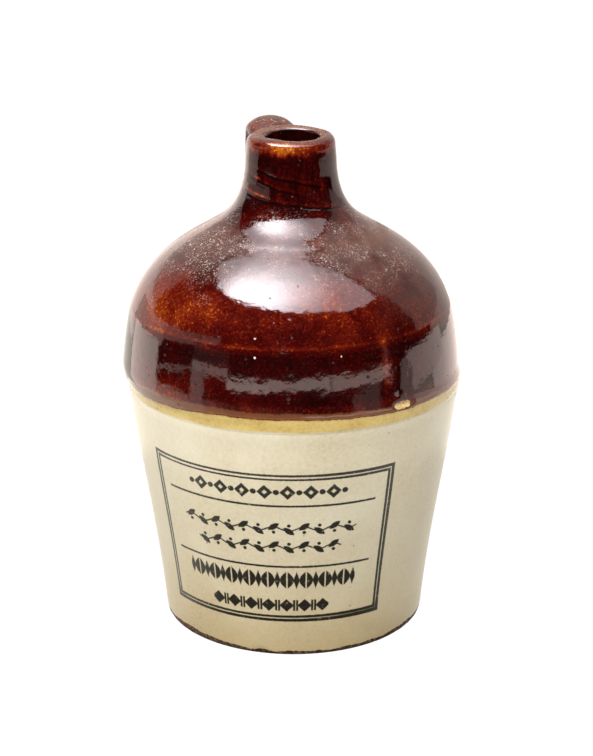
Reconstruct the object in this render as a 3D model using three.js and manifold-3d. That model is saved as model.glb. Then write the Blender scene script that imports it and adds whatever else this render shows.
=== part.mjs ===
// A small two-tone stoneware jug with a narrow neck and one strap handle.
// It has three pieces of clay: a tapered body, a shoulder with its neck, and a handle.
// Millimetres, +Z up. The origin is on the jug's axis, at the middle of its foot,
// and the handle is on the +Y side.

import * as THREE from "three";
import { mergeVertices } from "three/addons/utils/BufferGeometryUtils.js";
import Module from "manifold-3d";

const wasm = await Module();
wasm.setup();

// Body, from the foot to the luted joint
const bodyHeight = 56.5;
const footRadius = 30.4;
const footBevel = 0.7;
const bodyTopRadius = 37.9;
const footLean = 5.6; // degrees that the wall leans out where it leaves the foot
const topLean = 3.7; // the same at the joint; between them it leans more, so the wall bellies
const wallPulls = [0.48, 0.27];
const wall = 4.0; // thickness of the clay, body and shoulder alike
const floorThickness = 4.5;
const floorFillet = 5.0; // inside corner between floor and wall

// Shoulder, from the joint upwards: skirt, band, crown and throat
const skirtHeight = 3.9;
const skirtLean = 20;
const skirtPulls = [0.35, 0.35];
const shoulderRadius = 38.8; // the jug's widest place, at the top of the skirt
const bandHeight = 15.1;
const bandPulls = [0.2, 0.2];
const ridgeRadius = 36.6; // the ridge where the band turns into the crown
const ridgeLean = 19; // degrees from upright
const crownHeight = 17.2;
const crownPulls = [0.49, 0.125];
const throatRadius = 19.9; // where the crown's dome turns into the throat's hollow
const throatLean = 55.8;
const throatHeight = 16.3;
const throatPulls = [0.21, 0.64];
const neckRadius = 10.2;
const neckLean = 1;

// Lip and mouth
const lipHeight = 5.0;
const lipRadius = 9.95; // outside, just under the rounded rim
const rimRadius = 7.4; // circle along the rim's highest line
const rimRounding = 2.4;
const mouthRounding = 1.1;
const boreRadius = 6.05;
const boreLength = 15.0; // straight part of the bore, below the rounded mouth
const funnelPulls = [0.62, 0.18]; // inside, where the crown runs up into the bore

// Handle, a strap pulled from clay and pressed on at both ends
const strapWidth = 10.3;
const strapThickness = 5.2;
const strapRoundness = 0.9; // 1 is an ellipse in section, and less is fuller at the corners
const strapReach = 21.0; // from the jug's axis to the strap's middle line
const strapRise = 7.1; // how strongly the strap climbs above its root on the neck
const rootSink = 3.0; // the strap's root goes this deep into the neck before it's cut off
const rootBelowRim = 7.5;
const bendBelowRim = 9.5; // height of the strap's outermost place
const landingSink = 4.5; // the strap's end goes this deep under the shoulder's outline
const landingRadius = 20.3;
const endSwell = 0.34; // the pressed ends are this share wider and thicker
const swellLength = 7.0;
const clearance = 0.3; // between the handle and the clay that it's pressed on

// Fineness: facets round the jug and the strap, and steps along each stretch of outline
const turns = 64;
const strapRings = 30;
const strapSides = 20;
const steps = { wall: 9, fillet: 5, skirt: 3, band: 4, crown: 10, throat: 10, rim: 5, mouth: 6 };
const insideSteps = { wall: 8, band: 3, crown: 8, funnel: 6 };

// Heights that follow from the sizes above
const widestHeight = bodyHeight + skirtHeight;
const ridgeHeight = widestHeight + bandHeight;
const throatStart = ridgeHeight + crownHeight;
const neckHeight = throatStart + throatHeight;
const rimHeight = neckHeight + lipHeight;
const boreFoot = rimHeight - mouthRounding - boreLength;

const point = (radius, height) => new THREE.Vector2(radius, height);

// Unit direction of an outline that goes up and leans towards the axis by some degrees
function leaning(degrees) {
  const angle = THREE.MathUtils.degToRad(degrees);
  return point(-Math.sin(angle), Math.cos(angle));
}

// Points of a smooth stretch of outline, without its first one. The leans are the directions
// at both ends, and the pulls are how far each holds, as a share of the straight distance.
function stretch(from, to, leans, pulls, count) {
  const chord = from.distanceTo(to);
  const first = from.clone().addScaledVector(leaning(leans[0]), pulls[0] * chord);
  const second = to.clone().addScaledVector(leaning(leans[1]), -pulls[1] * chord);
  return new THREE.CubicBezierCurve(from, first, second, to).getPoints(count).slice(1);
}

// Points of an elliptical rounding, without its first one, angles in quarter turns
function rounding(center, radii, quarters, count) {
  const [start, end] = quarters.map((quarter) => (quarter * Math.PI) / 2);
  const arc = new THREE.EllipseCurve(center.x, center.y, radii[0], radii[1], start, end, end < start);
  return arc.getPoints(count).slice(1);
}

// Radius of an upward outline at a height
function radiusAt(outline, height) {
  const next = outline.findIndex((p) => p.y >= height);
  const [low, high] = [outline[next - 1], outline[next]];
  return THREE.MathUtils.mapLinear(height, low.y, high.y, low.x, high.x);
}

// A point moved square to a leaning outline, towards the inside of the clay wall
function inward(from, lean, distance) {
  const along = leaning(lean);
  return point(from.x - along.y * distance, from.y + along.x * distance);
}

// An outline in radius and height turned round the Z axis, as one closed surface
function turned(outline) {
  const geometry = new THREE.LatheGeometry(outline, turns);
  geometry.deleteAttribute("normal");
  geometry.deleteAttribute("uv");
  return mergeVertices(geometry.rotateX(Math.PI / 2), 1e-4);
}

function solidOf(geometry) {
  const vertProperties = new Float32Array(geometry.attributes.position.array);
  const triVerts = new Uint32Array(geometry.index.array);
  return new wasm.Manifold(new wasm.Mesh({ numProp: 3, vertProperties, triVerts }));
}

function geometryOf(solid) {
  const mesh = solid.getMesh();
  const geometry = new THREE.BufferGeometry();
  geometry.setAttribute("position", new THREE.BufferAttribute(mesh.vertProperties, 3));
  geometry.setIndex(new THREE.BufferAttribute(mesh.triVerts, 1));
  return geometry;
}

function pieceOf(name, geometry, color, roughness) {
  geometry.computeVertexNormals();
  const material = new THREE.MeshStandardMaterial({ color, roughness, metalness: 0 });
  const piece = new THREE.Mesh(geometry, material);
  piece.name = name;
  return piece;
}

// The body is a cup: flat foot, wall that tapers out, flat top edge, and the same wall inside
function bodyGeometry() {
  const foot = point(footRadius, footBevel);
  const top = point(bodyTopRadius, bodyHeight);
  const wallStretch = (count) => stretch(foot, top, [-footLean, -topLean], wallPulls, count);
  const fineWall = [foot, ...wallStretch(steps.wall * 4)];
  const cornerHeight = floorThickness + floorFillet;
  const insideWall = Array.from({ length: insideSteps.wall + 1 }, (_, i) => {
    const height = THREE.MathUtils.lerp(bodyHeight, cornerHeight, i / insideSteps.wall);
    return point(radiusAt(fineWall, height) - wall, height);
  });
  const filletMiddle = point(insideWall.at(-1).x - floorFillet, cornerHeight);
  return turned([
    point(0, 0),
    point(footRadius - footBevel, 0),
    foot,
    ...wallStretch(steps.wall),
    ...insideWall,
    ...rounding(filletMiddle, [floorFillet, floorFillet], [0, -1], steps.fillet),
    point(0, floorThickness),
  ]);
}

// Outside of the shoulder, from the joint to the rim's highest line
function shoulderOutside() {
  const joint = point(bodyTopRadius, bodyHeight);
  const widest = point(shoulderRadius, widestHeight);
  const ridge = point(ridgeRadius, ridgeHeight);
  const throat = point(throatRadius, throatStart);
  const neck = point(neckRadius, neckHeight);
  const underRim = point(lipRadius, rimHeight - rimRounding);
  const rimMiddle = point(rimRadius, rimHeight - rimRounding);
  return [
    joint,
    ...stretch(joint, widest, [-skirtLean, 0], skirtPulls, steps.skirt),
    ...stretch(widest, ridge, [0, ridgeLean], bandPulls, steps.band),
    ...stretch(ridge, throat, [ridgeLean, throatLean], crownPulls, steps.crown),
    ...stretch(throat, neck, [throatLean, neckLean], throatPulls, steps.throat),
    underRim,
    ...rounding(rimMiddle, [lipRadius - rimRadius, rimRounding], [0, 1], steps.rim),
  ];
}

// Inside of the shoulder, from the rim down through the bore to the joint
function shoulderInside() {
  const joint = point(bodyTopRadius - wall, bodyHeight);
  const widest = point(shoulderRadius - wall, widestHeight);
  const ridge = inward(point(ridgeRadius, ridgeHeight), ridgeLean, wall);
  const throat = inward(point(throatRadius, throatStart), throatLean, wall);
  const boreEnd = point(boreRadius, boreFoot);
  const mouthMiddle = point(rimRadius, rimHeight - mouthRounding);
  const upwards = [
    joint,
    widest,
    ...stretch(widest, ridge, [0, ridgeLean], bandPulls, insideSteps.band),
    ...stretch(ridge, throat, [ridgeLean, throatLean], crownPulls, insideSteps.crown),
    ...stretch(throat, boreEnd, [throatLean, 0], funnelPulls, insideSteps.funnel),
  ];
  const mouthRadii = [rimRadius - boreRadius, mouthRounding];
  const mouth = rounding(mouthMiddle, mouthRadii, [1, 2], steps.mouth);
  return [...mouth, ...upwards.reverse()];
}

// The shoulder is a ring in section: outside up, over the rim, and back down the inside
function shoulderGeometry() {
  const outside = shoulderOutside();
  return turned([...outside, ...shoulderInside(), outside[0]]);
}

// The space that the shoulder takes up, grown all round by a gap, as one solid without a bore
function shoulderSpace(gap) {
  const outside = shoulderOutside();
  const grown = outside.map((p, i) => {
    const before = outside[Math.max(i - 1, 0)];
    const after = outside[Math.min(i + 1, outside.length - 1)];
    const along = after.clone().sub(before).normalize();
    return point(p.x + along.y * gap, p.y - along.x * gap);
  });
  return solidOf(turned([point(0, bodyHeight), ...grown, point(0, rimHeight + gap)]));
}

// Height of the shoulder's outside at a radius
function shoulderHeightAt(radius) {
  const outside = shoulderOutside().filter((p) => p.y > widestHeight);
  const next = outside.findIndex((p) => p.x <= radius);
  const [low, high] = [outside[next - 1], outside[next]];
  return THREE.MathUtils.mapLinear(radius, low.x, high.x, low.y, high.y);
}

// Middle line of the strap, in the plane x = 0: out of the neck, over, and down to the shoulder
function strapLine() {
  const at = (radius, height) => new THREE.Vector3(0, radius, height);
  const rootHeight = rimHeight - rootBelowRim;
  const root = at(neckRadius - rootSink, rootHeight);
  const bend = at(strapReach, rimHeight - bendBelowRim);
  const landing = at(landingRadius, shoulderHeightAt(landingRadius) - landingSink);
  const third = (bend.z - landing.z) / 3;
  const climb = at((root.y + strapReach) / 2, rootHeight + strapRise * 0.92);
  const over = at(strapReach, rootHeight + strapRise);
  const line = new THREE.CurvePath();
  line.add(new THREE.CubicBezierCurve3(root, climb, over, bend));
  line.add(new THREE.CubicBezierCurve3(
    bend,
    at(strapReach, bend.z - third),
    at(strapReach, landing.z + third),
    landing,
  ));
  return line;
}

// Rounded strap section at one place: across the strap it runs along X
function strapRing(line, share) {
  const length = line.getLength();
  const toEnd = Math.min(share, 1 - share) * length;
  const near = Math.max(0, 1 - toEnd / swellLength);
  const swell = 1 + endSwell * near * near;
  const middle = line.getPointAt(share);
  const along = line.getTangentAt(share);
  const across = new THREE.Vector3(1, 0, 0);
  const out = new THREE.Vector3().crossVectors(along, across);
  const squash = (value) => Math.sign(value) * Math.abs(value) ** strapRoundness;
  return Array.from({ length: strapSides }, (_, side) => {
    const angle = (side * 2 * Math.PI) / strapSides;
    return middle.clone()
      .addScaledVector(across, (squash(Math.cos(angle)) * swell * strapWidth) / 2)
      .addScaledVector(out, (squash(Math.sin(angle)) * swell * strapThickness) / 2);
  });
}

// Closed surface over a row of rings, with a fan of triangles on each end
function lofted(rings) {
  const sides = rings[0].length;
  const last = rings.length - 1;
  const ends = [rings[0], rings[last]].map((ring) => {
    const middle = new THREE.Vector3();
    ring.forEach((p) => middle.add(p));
    return middle.divideScalar(sides);
  });
  const corners = [...rings.flat(), ...ends];
  const startMiddle = corners.length - 2;
  const faces = [];
  for (let side = 0; side < sides; side += 1) {
    const next = (side + 1) % sides;
    for (let ring = 0; ring < last; ring += 1) {
      const a = ring * sides;
      const b = a + sides;
      faces.push(a + side, a + next, b + next);
      faces.push(a + side, b + next, b + side);
    }
    faces.push(startMiddle, next, side);
    faces.push(startMiddle + 1, last * sides + side, last * sides + next);
  }
  const geometry = new THREE.BufferGeometry().setFromPoints(corners);
  geometry.setIndex(faces);
  return geometry;
}

// The strap, cut off where its two pressed ends meet the neck and the shoulder
function handleGeometry() {
  const line = strapLine();
  const rings = Array.from({ length: strapRings + 1 }, (_, i) => strapRing(line, i / strapRings));
  return geometryOf(solidOf(lofted(rings)).subtract(shoulderSpace(clearance)));
}

const jug = new THREE.Group();
jug.name = "stoneware_jug";
jug.add(pieceOf("body", bodyGeometry(), 0xd9cda8, 0.25));
jug.add(pieceOf("shoulder", shoulderGeometry(), 0x4d1509, 0.12));
jug.add(pieceOf("handle", handleGeometry(), 0x541a0c, 0.15));

export default jug;
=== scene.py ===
# %% [markdown]
# A small two-tone stoneware jug, built up the way a potter and a glazer would work on it.
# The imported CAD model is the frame. It gives the sizes and says where each piece stands, so the
# script loads it first and notes its box. Every length in this file is in metres, and the
# value mm turns millimetres into metres.

# %% Load the frame
import math

import bpy
import numpy as np
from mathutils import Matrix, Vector


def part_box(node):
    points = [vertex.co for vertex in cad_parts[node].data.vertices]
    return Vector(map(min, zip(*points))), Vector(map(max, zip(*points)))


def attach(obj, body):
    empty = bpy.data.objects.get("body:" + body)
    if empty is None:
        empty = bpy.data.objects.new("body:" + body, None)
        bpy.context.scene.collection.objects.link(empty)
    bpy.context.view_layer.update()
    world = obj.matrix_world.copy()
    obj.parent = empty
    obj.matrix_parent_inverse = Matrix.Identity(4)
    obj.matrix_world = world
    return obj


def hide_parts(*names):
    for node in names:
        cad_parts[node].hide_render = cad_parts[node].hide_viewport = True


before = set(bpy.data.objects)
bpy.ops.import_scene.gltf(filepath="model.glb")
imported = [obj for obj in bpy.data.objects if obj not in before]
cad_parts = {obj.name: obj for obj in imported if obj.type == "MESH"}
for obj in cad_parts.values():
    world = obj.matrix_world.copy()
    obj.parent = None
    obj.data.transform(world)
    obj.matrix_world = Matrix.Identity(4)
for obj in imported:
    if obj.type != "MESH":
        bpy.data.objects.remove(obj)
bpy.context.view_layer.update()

mm = 0.001

# %% [markdown]
# The camera. A jug this small is photographed from close by, so the nearer parts look larger,
# and only a camera at the real distance gives the same outline. Angles round the jug are
# counted from the camera's side: 0 faces the camera, and positive angles are to its right.

# %% Camera
camera_azimuth = math.radians(-15.0)
camera_elevation = math.radians(19.07)
camera_distance = 480 * mm
aim_height = 56.4 * mm
aim_right = 0.63 * mm
camera_lens = 98.1  # millimetres of focal length, on a sensor 36 wide

to_camera = Vector((math.sin(camera_azimuth), -math.cos(camera_azimuth), 0))
to_right = Vector((math.cos(camera_azimuth), math.sin(camera_azimuth), 0))
aim = to_right * aim_right + Vector((0, 0, aim_height))
sight = to_camera * math.cos(camera_elevation) + Vector((0, 0, math.sin(camera_elevation)))
bpy.ops.object.camera_add(
    location=aim + sight * camera_distance,
    rotation=(math.pi / 2 - camera_elevation, 0, camera_azimuth),
)
camera = bpy.context.object
camera.name = "camera"
camera.data.lens = camera_lens
camera.data.clip_start = 10 * mm
bpy.context.scene.camera = camera
print("camera at", [round(value / mm) for value in camera.location], "mm")

# %% [markdown]
# Node trees are easier to read as formulas. A Flow is what comes out of a node, and Python's own
# signs work on it: each sign adds one Math node. The helpers below add one node each to the tree
# that is being worked on, and what they are given may be a plain number or a Flow.

# %% Node helpers
class Flow:
    """An output socket that Python's signs can reckon with."""

    def __init__(self, socket):
        self.socket = socket

    def __add__(self, other):
        return calc("ADD", self, other)

    def __sub__(self, other):
        return calc("SUBTRACT", self, other)

    def __rsub__(self, other):
        return calc("SUBTRACT", other, self)

    def __mul__(self, other):
        return calc("MULTIPLY", self, other)

    def __truediv__(self, other):
        return calc("DIVIDE", self, other)

    __radd__, __rmul__ = __add__, __mul__


def work_in(node_tree):
    """From here on, the helpers add their nodes to this tree."""
    global tree
    tree = node_tree


def feed(socket, value):
    """Gives a socket its value: a link for a Flow, and a setting for anything else."""
    if isinstance(value, Flow):
        tree.links.new(value.socket, socket)
    else:
        socket.default_value = value


def add_node(kind, *values, **settings):
    """Adds a node, sets it up, and feeds its sockets in their order."""
    node = tree.nodes.new("ShaderNode" + kind)
    for name, value in settings.items():
        setattr(node, name, value)
    for socket, value in zip(node.inputs, values):
        feed(socket, value)
    return node


def calc(operation, *values, clamp=False):
    return Flow(add_node("Math", *values, operation=operation, use_clamp=clamp).outputs[0])


def dot(first, second):
    """How far the first direction or place reaches along the second."""
    return Flow(add_node("VectorMath", first, second, operation="DOT_PRODUCT").outputs["Value"])


def vectors(operation, first, second):
    return Flow(add_node("VectorMath", first, second, operation=operation).outputs[0])


def rise(value, low, high, kind="SMOOTHSTEP"):
    """0 below low, 1 above high, and a soft step between them. Low may be above high."""
    return Flow(add_node("MapRange", value, low, high, interpolation_type=kind).outputs[0])


def blend(factor, first, second, kind="MIX"):
    """A colour between two colours."""
    node = add_node("Mix", factor, data_type="RGBA", blend_type=kind)
    feed(node.inputs[6], first)
    feed(node.inputs[7], second)
    return Flow(node.outputs[2])


def largest(*values):
    result = values[0]
    for value in values[1:]:
        result = calc("MAXIMUM", result, value)
    return result


def degrees_round(place):
    """The bearing of a place or direction from the camera's side, in degrees."""
    turn = calc("ARCTAN2", dot(place, to_right), dot(place, to_camera))
    return calc("DEGREES", turn)


def either(factor, first, second):
    """The first shader where the factor is 0, and the second where it is 1."""
    return Flow(add_node("MixShader", factor, first, second).outputs[0])


def tint(red, green, blue):
    """A colour as a paint chart gives it, 0 to 255, turned into the light that nodes reckon with."""
    channels = [value / 255 for value in (red, green, blue)]
    linear = [v / 12.92 if v < 0.04045 else ((v + 0.055) / 1.055) ** 2.4 for v in channels]
    return (*linear, 1.0)


# %% [markdown]
# The studio. A glossy glaze is a mirror, so most of what the eye reads as glaze is the room in
# it. Here the room is a few soft panels in an otherwise dark space: a bright panel overhead
# with two hot spots at the upper left, and a pale backdrop behind the jug that comes forward on
# both sides. They could be real lamps and cards. Drawing them in the world's shader by
# direction is lighter and casts no stray shadows. Light Path splits the world in three: the
# camera sees plain white, mirror reflections see the panels, and matt surfaces get an even soft
# light from above.

# %% Far panels
far_panels = [
    # middle and half width round the jug, lowest and highest elevation, slant in degrees for
    # each degree, softness, brightness
    (157.5, 80.5, -17, -5, 0, 1.5, 0.95),  # backdrop, lower part
    (175, 61, -6, 5, 0, 2.0, 0.95),
    (168.5, 69.5, 4, 95, 0, 1.5, 0.62),
    (182, 42, -17, 95, 0, 9.0, 0.88),  # its brighter middle
    (168.5, 69.5, 42, 95, 0, 12.0, 1.25),  # its upper part
    (-128, 25, -17, -5, 0, 4.0, 1.85),  # its foot, next to the key light
    (-146, 26, -17, 12, 0, 5.0, 1.8),
    (-85, 34, 1.5, 16, 0.19, 1.5, 0.75),  # top of the frame at the left
]


def patch(azimuth, level, middle, half_width, low, high, slant, softness, brightness):
    """Brightness inside one patch round the jug, and 0 outside it. The level is an elevation in
    degrees or a height in millimetres. It rises by the slant for each degree to the right, and
    the softness counts for both directions."""
    aside = azimuth - middle
    level = level - aside * slant
    away = calc("DEGREES", calc("ARCCOSINE", calc("COSINE", calc("RADIANS", aside))))
    half = softness / 2
    inside = rise(away, half_width + half, half_width - half)
    return inside * rise(level, low - half, low + half) * rise(level, high + half, high - half) * brightness


# %% [markdown]
# The overhead panel lies level, so its outline is simple in a level plane above the jug: a
# round front and a straight back edge. A direction meets that plane at its sideways and forward
# parts divided by its upward part. A thin dark gap parts the panel from the backdrop, and it
# shows as a fine dark line across the crown. The hot spots are where the lamps shine through it.

# %% Overhead panel
overhead_middle = (0.16, -0.15)  # to the right and towards the camera, per unit of height
overhead_radii = (0.86, 0.77)
overhead_rim = (1.02, 0.97)  # where its soft outline ends and begins, in radii
back_edge = (-0.33, 0.33)  # where the back edge crosses the middle, and how it slants
back_gap = 0.055
edge_softness = 0.02
lowest_up = 0.02  # keeps level directions from a division by nothing
overhead_brightness = 3.5
hot_spots = [
    # azimuth, elevation, angles where the spot is full and where it has gone, brightness
    (-40, 72, 12, 39, 10),
    (-54, 64, 9, 29, 14),
]


def towards(azimuth, elevation):
    """The direction at an azimuth and an elevation, both in degrees."""
    azimuth, elevation = math.radians(azimuth), math.radians(elevation)
    level = to_camera * math.cos(azimuth) + to_right * math.sin(azimuth)
    return level * math.cos(elevation) + Vector((0, 0, math.sin(elevation)))


def overhead_panel(direction):
    """Brightness of the overhead panel, and a mask of all that lies behind its back edge."""
    height = calc("MAXIMUM", dot(direction, (0, 0, 1)), lowest_up)
    across = dot(direction, to_right) / height
    ahead = dot(direction, to_camera) / height
    aside, forward = [
        (value - middle) / radius
        for value, middle, radius in zip((across, ahead), overhead_middle, overhead_radii)
    ]
    inside = rise(calc("SQRT", aside * aside + forward * forward), *overhead_rim)
    before = ahead - (across * back_edge[1] + back_edge[0])
    is_before = rise(before, 0, edge_softness)
    is_behind = rise(before, -back_gap, -back_gap - edge_softness)
    brightness = overhead_brightness
    for azimuth, elevation, full, gone, added in hot_spots:
        away = calc("DEGREES", calc("ARCCOSINE", dot(direction, towards(azimuth, elevation))))
        brightness = rise(away, gone, full) * added + brightness
    return inside * is_before * brightness, is_behind


# %% Studio world
backdrop_white = 1.0
backdrop_color = tint(255, 236, 226)
overhead_color = tint(253, 250, 255)
soft_light = (0.30, 0.70)  # even light on matt surfaces, at the horizon and overhead
soft_light_reach = (-10, 80)  # the elevations between which it rises
low_wall = (33, 29)  # elevations that end the wall at the left, which stands before the back edge
low_wall_side = (95, 90)  # and its last azimuths

world = bpy.data.worlds.new("studio")
bpy.context.scene.world = world
world.use_nodes = True
world.cycles.sampling_method = "NONE"
work_in(world.node_tree)
tree.nodes.clear()
direction = Flow(add_node("TexCoord").outputs["Generated"])
azimuth = degrees_round(direction)
elevation = calc("DEGREES", calc("ARCSINE", dot(direction, (0, 0, 1))))
overhead, is_behind = overhead_panel(direction)
before_edge = rise(elevation, *low_wall) * rise(azimuth, *low_wall_side)
glow = largest(*(patch(azimuth, elevation, *panel) for panel in far_panels))
glow = largest(glow * largest(is_behind, before_edge), overhead)
glow_color = blend(rise(overhead, 0, 2.5), backdrop_color, overhead_color)
upward = rise(elevation, *soft_light_reach, kind="LINEAR")
soft = upward * (soft_light[1] - soft_light[0]) + soft_light[0]

path = {output.name: Flow(output) for output in add_node("LightPath").outputs}
seen, mirrored, matt = [
    Flow(add_node("Background", color, strength).outputs[0])
    for color, strength in (((1, 1, 1, 1), backdrop_white), (glow_color, glow), ((1, 1, 1, 1), soft))
]
lit = either(path["Is Diffuse Ray"], mirrored, matt)
add_node("OutputWorld", either(path["Is Camera Ray"], lit, seen))
bpy.context.scene.view_settings.view_transform = "Standard"
print("far panels:", len(far_panels) + 1)

# %% [markdown]
# Things close to the jug show lower in the neck than in the band, so the near cards need a real
# place. They stand in a ring round the jug as one thin cylinder, clear where no card is: a long
# strip in front, a frame with two dark panes at the left, and a few cards at the right. The
# table is a round sheet with a paler ring on it. Both are seen only by mirror reflections.

# %% Near cards
ring_radius = 150 * mm
ring_height = 125 * mm
near_cards = [
    # middle and half width round the jug, lowest and highest place in mm, slant in mm for each
    # degree, softness, brightness
    (-25, 13, 53.4, 62.5, 0.03, 0.8, 3.6),  # the strip in front, in four lengths
    (5, 18, 56.4, 65.5, 0, 0.8, 3.1),
    (42.5, 19, 54.5, 64.0, -0.03, 0.8, 2.7),
    (-49, 12, 60.5, 67.0, 0, 1.2, 2.0),
    (-48.5, 11.5, 66.0, 86.0, 0, 1.5, 0.14),  # a dim thing over its left end
    (-75.5, 15.5, 52.9, 54.6, 0.45, 0.6, 1.7),  # frame at the left: the bar between its panes
    (-75.5, 15.5, -5.0, 27.5, 0, 1.5, 1.5),  # its foot
    (-56.5, 4.5, 0, 62.0, 0.45, 1.6, 1.3),  # its right side
    (-108, 17.5, -5.0, 62.0, 0.2, 2.0, 2.7),  # the wall to its left
    (-96, 9, 60.0, 103.0, 0.45, 1.2, 1.15),
    (-116, 11.5, 60.0, 95.0, 0.45, 1.2, 1.15),
    (59.6, 1.2, 62.0, 84.0, 0, 1.0, 0.35),  # edge of the card at the right
    (95.5, 17.5, 40.5, 66.0, 0.05, 1.2, 1.9),
    (89, 10, 4.0, 30.0, 0, 2.5, 1.6),
    (106, 8, 4.0, 42.0, 0, 2.0, 2.1),
    (137, 25, 4.0, 50.0, -0.1, 3.0, 2.2),
    (45, 9, 38.0, 51.0, 0.2, 3.0, 0.55),
]
card_color = tint(255, 234, 224)


def mirror_only(piece):
    """Leaves a stage piece to mirror reflections alone."""
    piece.visible_camera = piece.visible_diffuse = piece.visible_shadow = False


def glowing(piece, color):
    """Gives a piece an empty material, and returns a shining shader and the output for it."""
    material = bpy.data.materials.new(piece.name)
    material.use_nodes = True
    piece.data.materials.append(material)
    work_in(material.node_tree)
    tree.nodes.clear()
    return add_node("Emission", color), add_node("OutputMaterial").inputs["Surface"]


def surface_place():
    return Flow(add_node("NewGeometry").outputs["Position"])


bpy.ops.mesh.primitive_cylinder_add(
    vertices=180, radius=ring_radius, depth=ring_height, end_fill_type="NOTHING",
    location=(0, 0, ring_height / 2),
)
ring = bpy.context.object
ring.name = "near_cards"
shine, surface = glowing(ring, card_color)
azimuth = degrees_round(surface_place())
level = dot(surface_place(), (0, 0, 1 / mm))
glow = largest(*(patch(azimuth, level, *card) for card in near_cards))
feed(shine.inputs["Strength"], glow)
clear = Flow(add_node("BsdfTransparent").outputs[0])
covered = calc("MULTIPLY", glow, 8, clamp=True)
feed(surface, either(covered, clear, Flow(shine.outputs[0])))
mirror_only(ring)
print("near cards:", len(near_cards))

# %% Table in the reflections
table_radius = 318 * mm
table_brightness = (0.12, 1.2)  # in front, and at the sides and behind
table_sides = (35, 75)  # the azimuths between which it grows brighter
pale_ring = (104 * mm, 158 * mm)  # the inner and outer edge of a paler ring that runs all round
pale_ring_softness = 4 * mm
pale_ring_brightness = 2.0
table_color = tint(255, 248, 234)

bpy.ops.mesh.primitive_circle_add(vertices=96, radius=table_radius, fill_type="NGON")
table = bpy.context.object
table.name = "table_in_reflections"
shine, surface = glowing(table, table_color)
sideways = rise(calc("ABSOLUTE", degrees_round(surface_place())), *table_sides)
tabletop = sideways * (table_brightness[1] - table_brightness[0]) + table_brightness[0]
flat = vectors("MULTIPLY", surface_place(), (1, 1, 0))
reach = calc("SQRT", dot(flat, flat))
inner, outer = (
    rise(reach, edge - pale_ring_softness, edge + pale_ring_softness) for edge in pale_ring
)
feed(shine.inputs["Strength"], largest(tabletop, (inner - outer) * pale_ring_brightness))
feed(surface, Flow(shine.outputs[0]))
mirror_only(table)
print("table", 2 * table_radius / mm, "mm wide")

# %% [markdown]
# The lamps and the floor. Two large soft lamps, one at the upper left and one in front, light
# the cream body evenly from the left edge to past its middle and let it fall off at the right.
# They are kept out of the glaze's reflections, because the overhead panel already stands for
# them there. The floor is a plain pale sheet. To the camera it is nearly white with a faint
# shadow, and it throws less light back at the jug than a white sheet would, which Light Path
# lets one material do.

# %% Lamps and floor
lamps = [
    # name, azimuth, elevation, size in metres, watts
    ("key_light", -62, 50, 0.5, 3.3),
    ("front_light", -6, 48, 0.6, 7.6),
]
lamp_distance = 0.9
floor_radius = 3.0
floor_tone = 0.3
floor_whiteness = 0.86  # how much of the floor's look is plain white
floor_brightness = 1.16

for name, azimuth, elevation, size, watts in lamps:
    direction = towards(azimuth, elevation)
    bpy.ops.object.light_add(
        type="AREA",
        location=direction * lamp_distance,
        rotation=direction.to_track_quat("Z", "Y").to_euler(),
    )
    lamp = bpy.context.object
    lamp.name = name
    lamp.data.shape = "DISK"
    lamp.data.size = size
    lamp.data.energy = watts
    lamp.visible_glossy = lamp.visible_camera = False

bpy.ops.mesh.primitive_circle_add(vertices=96, radius=floor_radius, fill_type="NGON")
floor = bpy.context.object
floor.name = "floor"
floor.visible_glossy = False
white, surface = glowing(floor, (1, 1, 1, 1))
white.inputs["Strength"].default_value = floor_brightness
matt_sheet = Flow(add_node("BsdfDiffuse", (floor_tone, floor_tone, floor_tone, 1)).outputs[0])
for_camera = Flow(add_node("LightPath").outputs["Is Camera Ray"]) * floor_whiteness
feed(surface, either(for_camera, matt_sheet, Flow(white.outputs[0])))
print("lamps:", [lamp[0] for lamp in lamps])

# %% [markdown]
# The sizes of the clay. Heights and radii that the frame already holds are read from its boxes,
# so that the fine pieces and the CAD pieces can't drift apart. The others are the outline's
# own stations: where it turns, how far it leans there, and how strongly it holds its direction.

# %% Sizes from the frame
body_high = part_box("body")[1]
shoulder_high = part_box("shoulder")[1]
handle_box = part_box("handle")
joint_height = body_high[2]
body_top_radius = body_high[0]
rim_height = shoulder_high[2]
wall = 4.0 * mm
foot_radius = 30.4 * mm
foot_bevel = 0.7 * mm
print("joint", joint_height / mm, "rim", rim_height / mm, "widest", shoulder_high[0] / mm)

# %% [markdown]
# Outlines. A pot's outline is a few long curves that flow into each other. Each stretch here is
# one Bezier curve with a point at both ends, and its handles carry the lean of the wall, in
# degrees from upright towards the axis. The stretches are joined, turned into a chain of edges
# and spun round the jug's axis, as clay turns on a wheel.

# %% Outline helpers
spin_steps = 288
merge_distance = 0.001 * mm
sharp_angle = math.radians(40)


def leaning(degrees):
    """Direction, in radius and height, of an outline that goes up and leans to the axis."""
    angle = math.radians(degrees)
    return Vector((-math.sin(angle), 0, math.cos(angle)))


def set_point(point, middle, before, after):
    """Places a Bezier point and its two handles."""
    point.handle_left_type = point.handle_right_type = "FREE"
    point.co, point.handle_left, point.handle_right = middle, before, after


def stretch(start, end, leans, pulls, steps):
    """Adds one Bezier stretch of an outline. Start and end are (radius, height), and the pulls
    are how far each end holds its lean, as a share of the straight distance."""
    bpy.ops.curve.primitive_bezier_curve_add()
    curve = bpy.context.object
    curve.data.resolution_u = steps
    start, end = (Vector((radius, 0, height)) for radius, height in (start, end))
    chord = (end - start).length
    first, last = curve.data.splines[0].bezier_points
    set_point(first, start, start, start + leaning(leans[0]) * pulls[0] * chord)
    set_point(last, end, end - leaning(leans[1]) * pulls[1] * chord, end)
    return curve


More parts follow.
